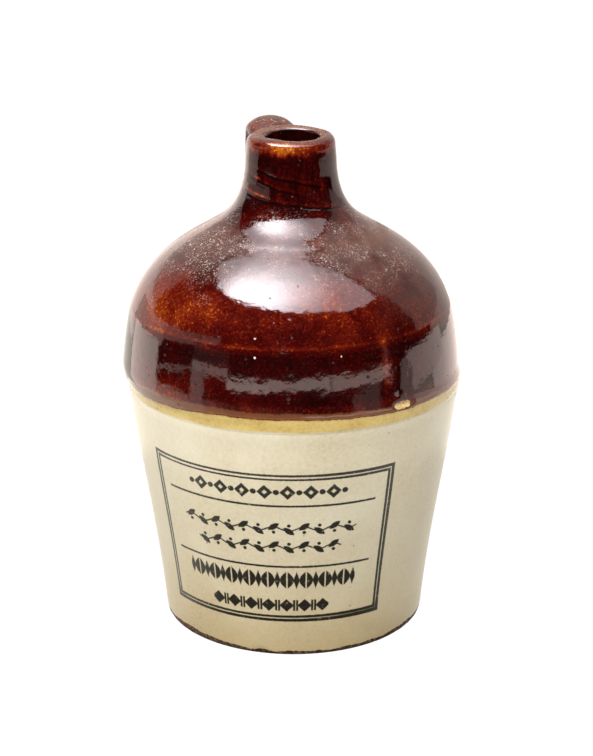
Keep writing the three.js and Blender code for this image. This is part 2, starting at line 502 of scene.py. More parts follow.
def rounded(start, end, leans, steps, squareness=0.5523):
    """A rounded corner between two places. Handles of 0.5523 of the radii give a quarter of an
    ellipse, and longer ones a squarer corner, so the pulls follow from the two radii."""
    across, up = abs(end[0] - start[0]), abs(end[1] - start[1])
    chord = math.hypot(across, up)
    reach = {True: across, False: up}
    pulls = [squareness * reach[round(lean / 90) % 2 == 1] / chord for lean in leans]
    return stretch(start, end, leans, pulls, steps)


def straight(start, end, steps):
    """A straight stretch of outline."""
    lean = math.degrees(math.atan2(start[0] - end[0], end[1] - start[1]))
    return stretch(start, end, (lean, lean), (1 / 3, 1 / 3), steps)


def inward(radius, height, lean):
    """A place moved square to a leaning wall, by the wall's thickness towards the inside."""
    along = leaning(lean)
    return radius - along.z * wall, height + along.x * wall


def close_mesh():
    """In edit mode: merges vertices that lie in one place, such as those on a seam."""
    bpy.ops.mesh.select_all(action="SELECT")
    bpy.ops.mesh.remove_doubles(threshold=merge_distance)


def thrown(name, stretches):
    """Joins stretches of outline, spins them round the axis, and closes the seam."""
    bpy.ops.object.select_all(action="DESELECT")
    for curve in stretches:
        curve.select_set(True)
    bpy.context.view_layer.objects.active = stretches[0]
    bpy.ops.object.join()
    bpy.ops.object.convert(target="MESH")
    piece = bpy.context.object
    piece.name = piece.data.name = name
    bpy.ops.object.mode_set(mode="EDIT")
    close_mesh()
    bpy.ops.mesh.spin(steps=spin_steps, angle=math.tau, center=(0, 0, 0), axis=(0, 0, 1))
    close_mesh()
    bpy.ops.mesh.normals_make_consistent(inside=False)
    bpy.ops.object.mode_set(mode="OBJECT")
    bpy.ops.object.shade_smooth_by_angle(angle=sharp_angle)
    print(name, "has", len(piece.data.vertices), "vertices after the spin")
    return piece


# %% [markdown]
# The body is a cup with a flat foot. Its wall leans out as it rises and bellies a little, the
# inside follows it at one wall's thickness, and a fillet rounds the inside corner. The outline
# starts and ends on the axis, so the spin closes it by itself.

# %% Body
foot_lean = -5.6
top_lean = -3.7
wall_pulls = (0.48, 0.27)
floor_thickness = 4.5 * mm
floor_fillet = 5.0 * mm
inside_foot_radius = 27.9 * mm  # at the top of the fillet

inside_corner = floor_thickness + floor_fillet
inside_floor_radius = inside_foot_radius - floor_fillet
joint = (body_top_radius, joint_height)
inner_joint = (body_top_radius - wall, joint_height)
body = thrown("jug_body", [
    straight((0, 0), (foot_radius - foot_bevel, 0), 14),
    rounded((foot_radius - foot_bevel, 0), (foot_radius, foot_bevel), (-90, 0), 6),
    stretch((foot_radius, foot_bevel), joint, (foot_lean, top_lean), wall_pulls, 110),
    straight(joint, inner_joint, 3),
    stretch(inner_joint, (inside_foot_radius, inside_corner),
            (180 + top_lean, 180 + foot_lean), wall_pulls[::-1], 24),
    rounded((inside_foot_radius, inside_corner), (inside_floor_radius, floor_thickness),
            (180, 90), 8),
    straight((inside_floor_radius, floor_thickness), (0, floor_thickness), 8),
])

# %% [markdown]
# The shoulder is a ring in section. From the joint it swells to the widest place, rises as a
# steep band to a ridge, closes in as the crown, turns hollow in the throat and stands upright
# in the neck, with a rounded rim. Then the outline goes back down the bore and the inside.

# %% Shoulder
skirt_lean, ridge_lean, throat_lean, neck_lean = -20, 19, 55.8, 1
rim_squareness = 0.74

widest = (shoulder_high[0], joint_height + 3.9 * mm)  # each place is a radius and a height
ridge = (36.6 * mm, widest[1] + 15.1 * mm)
throat = (19.9 * mm, ridge[1] + 17.2 * mm)
neck = (10.2 * mm, rim_height - 5.0 * mm)
under_rim = (9.95 * mm, rim_height - 2.4 * mm)
rim = (7.4 * mm, rim_height)
mouth = (6.05 * mm, rim_height - 1.1 * mm)
bore_foot = (mouth[0], mouth[1] - 15.0 * mm)
inner_throat = inward(*throat, throat_lean)
inner_ridge = inward(*ridge, ridge_lean)
inner_widest = (widest[0] - wall, widest[1])
shoulder = thrown("jug_shoulder", [
    stretch(joint, widest, (skirt_lean, 0), (0.35, 0.35), 12),
    stretch(widest, ridge, (0, ridge_lean), (0.2, 0.2), 40),
    stretch(ridge, throat, (ridge_lean, throat_lean), (0.49, 0.125), 56),
    stretch(throat, neck, (throat_lean, neck_lean), (0.21, 0.64), 92),
    straight(neck, under_rim, 9),
    rounded(under_rim, rim, (0, 90), 16, rim_squareness),
    rounded(rim, mouth, (90, 180), 8),
    straight(mouth, bore_foot, 10),
    stretch(bore_foot, inner_throat, (180, 180 + throat_lean), (0.18, 0.62), 8),
    stretch(inner_throat, inner_ridge, (180 + throat_lean, 180 + ridge_lean), (0.125, 0.49), 10),
    stretch(inner_ridge, inner_widest, (180 + ridge_lean, 180), (0.2, 0.2), 4),
    straight(inner_widest, inner_joint, 2),
    straight(inner_joint, joint, 3),
])

# %% [markdown]
# The handle is a strap pulled from clay. A path curve runs from the neck up, over and down to
# the shoulder, and a rounded section is swept along it. The radius of each path point widens
# the section, which gives the pressed ends their swell. Both ends run on into the jug's wall,
# as clay that was pressed on does.

# %% Handle
strap_width = 9.6 * mm
strap_thickness = 5.2 * mm
strap_reach = 21.0 * mm
root = (7.2 * mm, rim_height - 7.5 * mm)  # distance from the axis, and height
climb = (14.1 * mm, root[1] + 6.53 * mm)
over = (strap_reach, root[1] + 7.1 * mm)
bend = (strap_reach, rim_height - 9.5 * mm)
landing = (20.3 * mm, 87.9 * mm)
third = (bend[1] - landing[1]) / 3
end_swell = 1.25
corner_reach = 0.6 * strap_width / 2  # 0.5523 would be an ellipse, and more is squarer

bpy.ops.curve.primitive_bezier_circle_add(radius=strap_width / 2)
section = bpy.context.object
section.data.resolution_u = 12
flatten = Vector((1, strap_thickness / strap_width, 0))
for point in section.data.splines[0].bezier_points:
    side = (point.handle_right - point.co).normalized() * corner_reach
    places = [point.co + side * share for share in (0, -1, 1)]
    set_point(point, *(corner * flatten for corner in places))

bpy.ops.curve.primitive_bezier_curve_add()
strap = bpy.context.object
strap.name = strap.data.name = "jug_handle"
strap.data.splines[0].bezier_points.add(1)
path_points = [
    # the place, its handle before and after, and the swell of the section there
    (root, root, climb, end_swell),
    (bend, over, (strap_reach, bend[1] - third), 1.0),
    (landing, (strap_reach, landing[1] + third), landing, end_swell),
]
for point, (*places, swell) in zip(strap.data.splines[0].bezier_points, path_points):
    set_point(point, *((0, *corner) for corner in places))
    point.radius = swell
strap.data.dimensions = "3D"
strap.data.resolution_u = 48
strap.data.bevel_mode = "OBJECT"
strap.data.bevel_object = section
strap.data.use_fill_caps = True
bpy.ops.object.convert(target="MESH")
handle = bpy.context.object
bpy.data.objects.remove(section)
bpy.ops.object.mode_set(mode="EDIT")
close_mesh()
bpy.ops.mesh.normals_make_consistent(inside=False)
bpy.ops.object.mode_set(mode="OBJECT")
bpy.ops.object.shade_smooth()
for label, box in (("fine", (handle.bound_box[0], handle.bound_box[6])), ("CAD", handle_box)):
    print(label, "handle box in mm:", [[round(c / mm, 1) for c in corner] for corner in box])

# %% [markdown]
# Hand-made clay is never quite round, and a glaze is never quite even. Relief of a tenth of a
# millimetre is what breaks up the reflections, so it is made in the mesh. It could be sculpted
# by hand or come from a texture. Here each mark is a short formula of the place on the jug, so
# that it lands where it does on the real one and stays the same in every run. The numbers in
# these formulas are millimetres and degrees.

# %% Relief helpers
def vertex_numbers(items, name):
    """Three numbers for each vertex, as rows of an array."""
    numbers = np.empty(len(items) * 3)
    items.foreach_get(name, numbers)
    return numbers.reshape(-1, 3)


def bearings(places):
    """Angle from the camera's side in degrees, height, and distance from the axis."""
    sideways = places @ np.array(to_right)
    forwards = places @ np.array(to_camera)
    azimuth = np.degrees(np.arctan2(sideways, forwards))
    return azimuth, places[:, 2].copy(), np.hypot(sideways, forwards)


def survey(piece):
    """Places in millimetres and normals of all vertices of a piece, and the bearings."""
    places = vertex_numbers(piece.data.vertices, "co") / mm
    normals = vertex_numbers(piece.data.vertex_normals, "vector")
    return places, normals, *bearings(places)


def facing_out(normals, azimuth):
    """How far each normal points away from the axis, from -1 to 1."""
    turn = np.radians(azimuth)
    return normals @ np.array(to_right) * np.sin(turn) + normals @ np.array(to_camera) * np.cos(turn)


def place(piece, places):
    """Puts all vertices of a piece at the places, which are in millimetres."""
    piece.data.vertices.foreach_set("co", (places * mm).ravel())
    piece.data.update()


def bell(value, width):
    """1 where the value is 0, falling to nothing at about twice the width."""
    return np.exp(-((value / width) ** 2))


def step(value, low, high):
    """0 up to low, 1 from high on, and a soft step between them. Low may be above high."""
    share = np.clip((value - low) / (high - low), 0, 1)
    return share * share * (3 - 2 * share)


def fill_joint(places, height, radius, share):
    """Pushes the corner at the joint outwards, as the slip that was wiped into it does."""
    above = height - joint_height / mm
    push = 0.3 * bell(above, np.where(above < 0, 3.2, 1.3)) * share
    places[:, :2] *= (1 + push / np.maximum(radius, 1))[:, None]


def wave(azimuth, counts, seed):
    """A wave round the jug, between -1 and 1, with one sine for each number of swings."""
    turn = np.radians(azimuth)
    sines = [np.sin(count * turn + seed * (1.7 + number)) for number, count in enumerate(counts)]
    return sum(sines) / len(sines)


def store(piece, name, values):
    """Keeps a number for each vertex, for the material to read."""
    attribute = piece.data.attributes.new(name, "FLOAT", "POINT")
    attribute.data.foreach_set("value", np.asarray(values, dtype=np.float32))


# %% [markdown]
# The marks on the shoulder, from the bottom up. The brown glaze ends in a wavy edge above a
# band of tan slip, and the glaze is a little thicker there. A thick run of glaze came down at
# the right, and a chip of glaze is missing where it ended. The turning tool left a ridge
# between band and crown, fine lines under it and faint rings above it. Three slanting scores run
# round the neck. The rim is knocked and uneven, and the whole shoulder leans a little.

# %% Lines on the shoulder
clay_places, clay_normals, azimuth, height, radius = survey(shoulder)
outside = (facing_out(clay_normals, azimuth) > 0.02) | (clay_normals[:, 2] > 0.3)

brown_foot = (
    59.3 + 0.85 * bell(azimuth + 6, 34) - 0.6 * bell(azimuth + 75, 25)
    + 0.22 * wave(azimuth, (5, 9, 14), 2.1) + 0.08 * wave(azimuth, (31, 47), 0.7)
)
thin_top = brown_foot + 1.45 + 1.2 * bell(azimuth + 52, 24)
tan_foot = 57.0 - 0.3 * bell(azimuth + 74, 18) + 0.14 * wave(azimuth, (4, 11, 23), 1.1)
ridge_line = 75.3 + 0.35 * wave(azimuth + 40, (1, 3, 7), 0.4) + 0.45 * step(azimuth, 5, 40)
ridge_share = 0.55 + 0.45 * wave(azimuth, (5, 11, 19), 1.7)
tool_lines = (1.9, 2.8, 3.6)  # below the ridge

run_middle = 38.0 + 0.22 * (height - 62)  # the run slants a little as it rises
run_across = np.radians(azimuth - run_middle) * radius
run_share = step(height, 61.0, 62.2) * step(height, 84, 76)
ochre_across = np.radians(azimuth - 33.4) * radius
chip_across = np.radians(azimuth - 38.8) * radius
chip = bell(chip_across, 2.6) * bell(height - 60.65, 0.95)
scores = []
for middle, fall, first, last, depth, width in (
    # height at azimuth 0, fall in mm for each degree, first and last azimuth, depth, width
    (105.7, -0.042, -44, 34, 0.09, 0.22),
    (100.5, -0.028, -75, 58, 0.09, 0.24),
    (103.1, -0.050, -64, 5, 0.05, 0.2),
):
    line = middle + fall * azimuth + 0.1 * wave(azimuth, (7, 13), 0.5)
    along = step(azimuth, first - 8, first + 4) * step(azimuth, last + 8, last - 4)
    scores.append((line, along, depth, width))
print("brown glaze ends at", round(brown_foot.min(), 1), "to", round(brown_foot.max(), 1), "mm")

# %% Shoulder relief
over_edge, over_ridge = height - brown_foot, height - ridge_line
relief = 0.16 * wave(azimuth, (2, 3), 1.3) * step(height, 58, 66)
relief += 0.05 * wave(azimuth, (5, 8, 11), 0.9) * np.cos((height - 68) / 5.5) * step(height, 57.5, 62)
rings = np.sin(height * math.tau / 2.9 + 1.2 * wave(azimuth, (1, 2), 0.3))
relief += 0.006 * rings * step(height, 78, 86)
relief += 0.06 * ridge_share * bell(over_ridge, 0.45)
for below in tool_lines:
    relief -= 0.02 * bell(over_ridge + below, 0.22) * (0.6 + 0.4 * wave(azimuth, (3, 8), below))
relief += 0.12 * step(over_edge, -0.1, 0.35) + 0.08 * bell(over_edge - 0.45, 0.4)
relief += 0.08 * bell(run_across, 1.5) * run_share
relief += 0.14 * bell(run_across, 1.5) * bell(height - 62.4, 1.2)
relief -= 0.5 * step(chip, 0.35, 0.8)
for line, along, depth, width in scores:
    relief += along * depth * (0.08 * bell(height - line - 0.42, 0.3) - bell(height - line, width))
relief += 0.05 * wave(azimuth, (3, 7, 12), 2.2) * step(height, 110.5, 113)
relief *= outside

lean_left = 0.7 * step(height, 57.5, 62.5)
bore_shift = 0.5 * step(height, 100, 111) * step(radius, 8.6, 6.2)
rim_lift = 0.175 * step(height, 106, 113) * (1 - np.cos(np.radians(azimuth)))
fill_joint(clay_places, height, radius, outside)
clay_places += clay_normals * relief[:, None]
clay_places -= np.array(to_right) * (lean_left - bore_shift)[:, None]
clay_places[:, 2] += rim_lift
place(shoulder, clay_places)
print("shoulder relief from", round(relief.min(), 2), "to", round(relief.max(), 2), "mm")

# %% [markdown]
# Where a glaze lies thin it turns orange and gold, and where it lies thick it is nearly black.
# So each vertex of the shoulder keeps how thick the glaze is there, from 0 to 1, and the
# material turns that number into colour. One patch on the front of the crown is a painted
# highlight: it lowers that number only to lighten the glaze where the highlight falls. Sharp
# borders are kept as distances in millimetres, which stays smooth between vertices, and the
# material draws the crisp line. Heights are read again here, because the relief has moved the
# vertices.

# %% Shoulder glaze thickness
height = clay_places[:, 2]
over_edge, over_ridge = height - brown_foot, height - ridge_line
inner_coat = 0.9
coat = 0.64 + 0.05 * wave(azimuth, (2, 5, 9), 1.9)
for middle, high, half_width, half_height, thinner in (
    (-58, 80, 26, 6, 0.24),  # orange side of the crown
    (-34, 82, 9, 3, 0.2),
    # painted highlight: the glaze colour is lightened here, where the crown's highlight falls
    (16, 84.5, 20, 4, 0.2),  # under the highlight
    (-43, 64, 20, 4.5, 0.24),  # orange left end of the band
):
    coat -= thinner * bell(azimuth - middle, half_width) * bell(height - high, half_height)
coat += 0.15 * step(height, 75.5, 73) * step(height, 62, 64)  # dark band under the ridge
coat -= 0.30 * bell(over_ridge, 0.28) * ridge_share
for below in tool_lines:
    coat += 0.10 * bell(over_ridge + below, 0.25)
coat += 0.18 * step(height, 96, 101)
lip_edge = 110.5 + 0.5 * wave(azimuth, (11, 23, 41), 0.8)
lip_thin = 0.29 + 0.22 * bell(azimuth + 14, 40) + 0.06 * wave(azimuth, (19, 37, 53), 1.4)
coat -= lip_thin * step(height, lip_edge, lip_edge + 1.7) * step(radius, 7.9, 8.7)
coat -= 0.3 * bell(over_edge - 0.2, 0.75) * (1 - 0.8 * bell(azimuth - 50, 22))
coat += 0.1 * bell(run_across, 1.1) * run_share
coat -= 0.28 * bell(ochre_across, 1.2) * step(height, 64, 67) * step(height, 78, 75)
for line, along, *_ in scores:
    coat += along * (0.38 * bell(height - line, 0.22) - 0.16 * bell(height - line - 0.6, 0.3))
for middle, fall, first, last in ((104.05, -0.047, -53, -34), (101.4, -0.028, -84, -22)):
    along = step(azimuth, first, first + 6) * step(azimuth, last, last - 8)
    coat -= 0.5 * along * bell(height - middle - fall * azimuth, 0.22)
print("glaze thickness from", round(coat.min(), 2), "to", round(coat.max(), 2))

# %% Streaks, dust and film
streak = step(height, 96, 104) * (1 - 0.75 * step(height, 107.5, 110))
dust = 0.03 + 0.97 * step(clay_normals[:, 2], 0.35, 0.75) * step(height, 82, 91)
dust *= (1 - 0.85 * step(height, 101, 106)) * (1 - 0.5 * bell(azimuth, 32))
dust = np.maximum(dust, 0.9 * bell(azimuth + 35, 5) * bell(height - 84.4, 1.6))
dust = np.maximum(dust, 1.3 * bell(azimuth + 1.7, 1.4) * bell(height - 75.3, 0.6))
film = 0.5 * step(height, 84, 94) * step(height, 97, 92)
film += 0.22 * step(azimuth, 25, 60) * step(height, 75, 84) * step(height, 104, 92)
on_top = step(clay_normals[:, 2], 0.45, 0.85) * step(height, 112.8, 113.4)
film += 0.8 * on_top * (1 - 0.95 * step(radius, 7.7, 8.5) * step(np.abs(azimuth), 110, 70))
film *= outside | (height > 112.9)

no_edge = 20  # millimetres above any border
for name, values, inside_value in (
    ("coat", coat, inner_coat), ("streak", streak, 0), ("chip", chip, 0), ("dust", dust, 0),
    ("above_edge", over_edge, no_edge), ("above_thin", height - thin_top, no_edge),
    ("above_slip", height - tan_foot, no_edge),
):
    store(shoulder, name, np.where(outside, values, inside_value))
store(shoulder, "film", film)
print("the shoulder keeps", len(shoulder.data.attributes), "attributes")

# %% [markdown]
# The body is smoother: it was shaped in a mould or with a rib, and its cream glaze is even.
# It gets a slow unevenness, a worn foot edge, and one small chip in the foot at the front.

# %% Body relief
cup_places, cup_normals, azimuth, height, radius = survey(body)
outwards = facing_out(cup_normals, azimuth)
outer_wall = outwards > 0.3
foot_chip = bell(np.radians(azimuth + 13.5) * radius, 1.3) * bell(height - 0.2, 0.8)
wear = step(height, 1.6, 0.3) * (radius > 20)
relief = 0.09 * wave(azimuth, (2, 3, 5), 0.8) * step(height, 2, 10) * step(height, 56, 48)
relief += 0.03 * wave(azimuth, (7, 12), 1.8) * np.cos(height / 6) * step(height, 56, 50)
relief -= 0.12 * wear * (0.5 + 0.5 * wave(azimuth, (6, 15, 27, 44), 2.6))
relief -= 0.7 * foot_chip
relief *= outer_wall
fill_joint(cup_places, height, radius, outer_wall)
place(body, cup_places + cup_normals * relief[:, None])

# Below this height the foot is dark: bare clay, made wider and darker as painted shade where the jug meets
# the floor.
dark_foot_top = 0.95 + 0.9 * bell(azimuth + 48, 20) + 0.6 * bell(azimuth - 55, 26) + 0.9 * foot_chip
dark_foot_top += 0.25 * wave(azimuth, (5, 13, 29), 0.6)
store(body, "above_foot", np.where(outer_wall, height - dark_foot_top, -5))
inner = (outwards < -0.3) | ((cup_normals[:, 2] > 0.5) & (height < 20) & (height > 1))
store(body, "inside", inner)
print("body relief from", round(relief.min(), 2), "to", round(relief.max(), 2), "mm")

# %% [markdown]
# The strap was pressed and smoothed with wet fingers, so its faces are slightly hollow and its
# edges uneven. It leans with the shoulder. It has no glaze border of its own, but its finish
# reads the same names as the shoulder's, so it keeps plain values under them.

# %% Handle relief
strap_places, strap_normals = survey(handle)[:2]
across, out, height = strap_places.T  # views, which follow the places when they move
relief = 0.07 * np.sin(across * 0.8 + 0.4 * height) * np.cos(out * 0.5 - 0.3 * height)
relief += 0.03 * np.sin(height * 1.9 + across * 0.6) + 0.02 * np.sin(out * 2.3 - across * 1.4)
strap_lean = 1.2
strap_places += strap_normals * relief[:, None] - np.array(to_right) * strap_lean
strap_places[:, 2] += 0.75 * step(height, 100, 110)
place(handle, strap_places)

upward_share = strap_normals[:, 2]
strap_coat = 0.64 - 0.12 * step(np.abs(across), 3.2, 5.4) + 0.1 * np.sin(across * 1.7 + height * 0.9)
nothing = np.zeros(len(height))
for name, values in (
    ("coat", strap_coat), ("streak", nothing), ("chip", nothing),
    ("dust", 0.25 + 0.6 * step(upward_share, 0.3, 0.8)),
    ("film", 0.15 + 0.35 * step(upward_share, 0.1, 0.8)),
    ("above_edge", nothing + no_edge), ("above_thin", nothing + no_edge),
    ("above_slip", nothing + no_edge),
):
    store(handle, name, values)
print("handle relief from", round(relief.min(), 2), "to", round(relief.max(), 2), "mm")

# %% [markdown]
# Effects that more than one finish needs are node groups, built once. The first scatters
# specks: a Voronoi texture gives each cell one middle and one random colour, and the colour
# decides whether the cell has a speck and how large it is.

# %% Specks group
def new_group(name, inputs, outputs):
    """An empty node group with named number inputs and outputs, opened to work in."""
    group = bpy.data.node_groups.new(name, "ShaderNodeTree")
    for label, value in inputs.items():
        socket = group.interface.new_socket(label, in_out="INPUT", socket_type="NodeSocketFloat")
        socket.default_value = value
    for label, kind in outputs.items():
        group.interface.new_socket(label, in_out="OUTPUT", socket_type=kind)
    work_in(group)
    given = {socket.name: Flow(socket) for socket in group.nodes.new("NodeGroupInput").outputs}
    return group, given, group.nodes.new("NodeGroupOutput").inputs


def object_place():
    return Flow(add_node("TexCoord").outputs["Object"])


def noise(per_metre, place=None, detail=2.0, roughness=0.5, distortion=0.0):
    """A Noise texture's value, and its colour as three values. The place is the object's own
    unless another is given."""
    node = add_node("TexNoise")
    for name, value in (("Vector", place or object_place()), ("Scale", per_metre),
                        ("Detail", detail), ("Roughness", roughness), ("Distortion", distortion)):
        feed(node.inputs[name], value)
    return Flow(node.outputs[0]), Flow(node.outputs["Color"])


def split(color):
    """The three channels of a colour, as numbers."""
    return [Flow(output) for output in add_node("SeparateColor", color).outputs]


specks_group, given, result = new_group(
    "Specks",
    {"Per Metre": 800.0, "Share": 0.2, "Size": 0.3, "Shift": 0.0},
    {"Mask": "NodeSocketFloat", "Random": "NodeSocketFloat"},
)
jitter_share = 0.45  # of a cell, makes the specks ragged
smallest_speck = 0.3  # as a share of the largest
core_share = 0.55  # of a speck's size, where it is at its full strength

shifted = vectors("ADD", object_place(), given["Shift"])
ragged = noise(given["Per Metre"] * 2.2, shifted)[1]
scaled = add_node("VectorMath", vectors("SUBTRACT", ragged, (0.5, 0.5, 0.5)), operation="SCALE")
feed(scaled.inputs["Scale"], calc("DIVIDE", jitter_share, given["Per Metre"]))
cells = add_node("TexVoronoi", vectors("ADD", shifted, Flow(scaled.outputs[0])))
feed(cells.inputs["Scale"], given["Per Metre"])
chance, size_chance, random = split(Flow(cells.outputs["Color"]))
speck_size = given["Size"] * (size_chance * (1 - smallest_speck) + smallest_speck)
speck = rise(Flow(cells.outputs["Distance"]), speck_size, speck_size * core_share)
feed(result["Mask"], speck * calc("LESS_THAN", chance, given["Share"]))
feed(result["Random"], random)
print("group", specks_group.name, "has", len(tree.nodes), "nodes")

# %% [markdown]
# The second group is mottling: how a colour drifts over centimetres and breaks up again over
# fractions of a millimetre. The third is the surface's own ripple, the height for a Bump node,
# from slow swells in the glaze down to the fine skin that blurs the edge of a highlight.

# %% Mottle and ripple groups
mottle_group, given, result = new_group(
    "Mottle",
    {"Drift Per Metre": 60.0, "Grain Per Metre": 900.0, "Grain Share": 0.5},
    {"Value": "NodeSocketFloat"},
)
drift = noise(given["Drift Per Metre"], detail=3.0, distortion=0.6)[0]
grain = noise(given["Grain Per Metre"], detail=3.0, roughness=0.65)[0]
feed(result["Value"], drift + (grain - drift) * given["Grain Share"])

ripple_group, given, result = new_group(
    "Ripple",
    {"Swell": 1.0, "Peel": 0.2, "Skin": 0.05},
    {"Height": "NodeSocketFloat"},
)
ripples = [
    noise(per_metre, detail=1.0)[0] * given[label]
    for label, per_metre in (("Swell", 140.0), ("Peel", 520.0), ("Skin", 2400.0))
]
feed(result["Height"], sum(ripples))
print("groups", mottle_group.name, "and", ripple_group.name)

# %% [markdown]
# A finish starts from an empty material with one Principled BSDF. Its gloss settings that are
# the same all over are set on the shader itself.

# %% Material helpers
relief_height = 0.05 * mm  # what a Bump height of 1 stands for


def new_finish(name, ior):
    """A new material, opened to work in, and the inputs of its shader."""
    material = bpy.data.materials.new(name)
    material.use_nodes = True
    work_in(material.node_tree)
    shader = tree.nodes["Principled BSDF"].inputs
    shader["IOR"].default_value = ior
    return material, shader


def use_group(group, **settings):
    """Places a group in the tree. A setting's name has underscores for spaces."""
    node = tree.nodes.new("ShaderNodeGroup")
    node.node_tree = group
    for name, value in settings.items():
        feed(node.inputs[name.replace("_", " ")], value)
    return {output.name: Flow(output) for output in node.outputs}


def mottle(drift, grain, share):
    """Mottling. The drift and the grain are counted per metre, and the share is the grain's."""
    return use_group(mottle_group, Drift_Per_Metre=drift, Grain_Per_Metre=grain,
                     Grain_Share=share)["Value"]


def specks(per_metre, share, size, shift):
    """Specks in a share of so many cells per metre, largest size in cells. The shift gives each
    use of them its own pattern."""
    return use_group(specks_group, Per_Metre=per_metre, Share=share, Size=size, Shift=shift)


def stored(name):
    """The number that the mesh keeps under this name."""
    return Flow(add_node("Attribute", attribute_name=name).outputs["Fac"])


def color_ramp(value, stops):
    node = add_node("ValToRGB", value)
    elements = node.color_ramp.elements
    while len(elements) < len(stops):
        elements.new(0.5)
    for element, (position, color) in zip(elements, stops):
        element.position, element.color = position, color
    return Flow(node.outputs["Color"])


def bump(height_value):
    node = add_node("Bump")
    feed(node.inputs["Distance"], relief_height)
    feed(node.inputs["Height"], height_value)
    return Flow(node.outputs[0])


# %% [markdown]
# The cream glaze runs from the body over the joint onto the shoulder's foot, so its colour is a
# group that both finishes use. Up close it isn't one colour: it drifts between cooler and
# warmer cream, has a fine sandy grain, small iron specks and pinholes, and turns darker and
# warmer towards the foot of the jug.

# %% Cream group
cream_stops = [
    (0.30, tint(204, 190, 156)), (0.45, tint(216, 204, 174)),
    (0.60, tint(224, 214, 187)), (0.75, tint(229, 221, 197)),
]
dark_warm_foot = (0.72, 0.63, 0.47, 1)  # what the glaze's colour is multiplied by at the very foot
dark_warm_from = 56  # mm, the height where that begins

cream_group, given, result = new_group(
    "Cream Glaze",
    {},
    {"Color": "NodeSocketColor", "Drift": "NodeSocketFloat", "Pits": "NodeSocketFloat"},
)
drift = mottle(45.0, 1300.0, 0.42)
cream = color_ramp(drift, cream_stops)
grime = rise(mottle(110.0, 2600.0, 0.6), 0.55, 0.75)
cream = blend(grime * 0.4, cream, tint(200, 182, 150))
up = dot(object_place(), (0, 0, 1 / mm))
dark_warm_share = calc("POWER", rise(up, dark_warm_from, 0, kind="LINEAR"), 2.2)
cream = blend(dark_warm_share, cream, blend(1.0, cream, dark_warm_foot, "MULTIPLY"))
cream = blend(specks(420.0, 0.16, 0.13, 0.7)["Mask"] * 0.7, cream, tint(96, 78, 58))
pits = specks(1100.0, 0.13, 0.22, 0.9)["Mask"]
cream = blend(pits * 0.35, cream, tint(150, 132, 104))
for label, value in (("Color", cream), ("Drift", drift), ("Pits", pits)):
    feed(result[label], value)
print("group", cream_group.name, "has", len(tree.nodes), "nodes")

# %% [markdown]
# The brown glaze is an iron glaze over tan slip. Its colour comes from a ramp over the stored
# thickness, stirred by mottling. Then come the thin brown strip at its foot, the tan band, the
# raw clay in the chip, pinholes, pale specks, the dust and the grey film on the upward faces,
# and a few single marks, each at its place on the jug: pale specks, and a scratch across the
# front of the crown. The two numbers of a rise are where an effect begins and where it is full,
# and the number in a blend is how strongly it covers there.

# %% Brown glaze colours
glaze_stops = [
    (0.00, tint(228, 160, 54)),
    (0.16, tint(176, 96, 22)),
    (0.32, tint(126, 47, 12)),
    (0.48, tint(90, 18, 7)),
    (0.64, tint(60, 6, 4)),
    (0.82, tint(38, 3, 3)),
    (1.00, tint(20, 3, 3)),
]
slip_stops = [(0.3, tint(178, 142, 74)), (0.5, tint(205, 175, 99)), (0.7, tint(218, 194, 120))]
chip_stops = [(0.33, tint(92, 60, 34)), (0.40, tint(206, 166, 108)), (0.62, tint(232, 200, 146))]
shoulder_marks = [
    # azimuth, height and half length in mm, size in mm, colour
    (-13.2, 77.4, 0, 0.2, tint(196, 170, 156)),
    (-12.8, 73.6, 0, 0.32, tint(226, 214, 204)),
    (16.0, 73.6, 0, 0.28, tint(206, 182, 150)),
    (-4.6, 83.6, 3.4, 0.2, tint(46, 6, 4)),
]


def mark_mask(wander, azimuth, height, half_length, size):
    """A small ragged mark on the jug, drawn out to both sides by its half length."""
    outward = towards(azimuth, 0)
    across = calc("ABSOLUTE", dot(object_place(), outward.cross((0, 0, 1)) / mm))
    across = calc("MAXIMUM", across - half_length, 0)
    up = dot(object_place(), (0, 0, 1 / mm)) - height
    away = calc("SQRT", across * across + up * up) + wander * 1.2
    behind = dot(object_place(), outward / -mm)  # keeps the mark off the far side
    return rise(largest(away, behind), size, size * 0.6)


# %% Brown glaze
def glaze_brown():
    """The colour of the glaze by its thickness, with flecks, mottling and streaks."""
    stirred = (mottle(150.0, 1150.0, 0.5) - 0.47) * 0.95 + stored("coat")
    flecks = noise(1900.0, roughness=0.6)[0]
    stirred = stirred - rise(flecks, 0.54, 0.70) * 0.22
    drawn_out = vectors("MULTIPLY", object_place(), (1, 1, 0.1))
    streaks = noise(1100.0, drawn_out, detail=3.0, roughness=0.6)[0]
    return color_ramp(stirred + (streaks - 0.5) * stored("streak") * 0.95, glaze_stops)


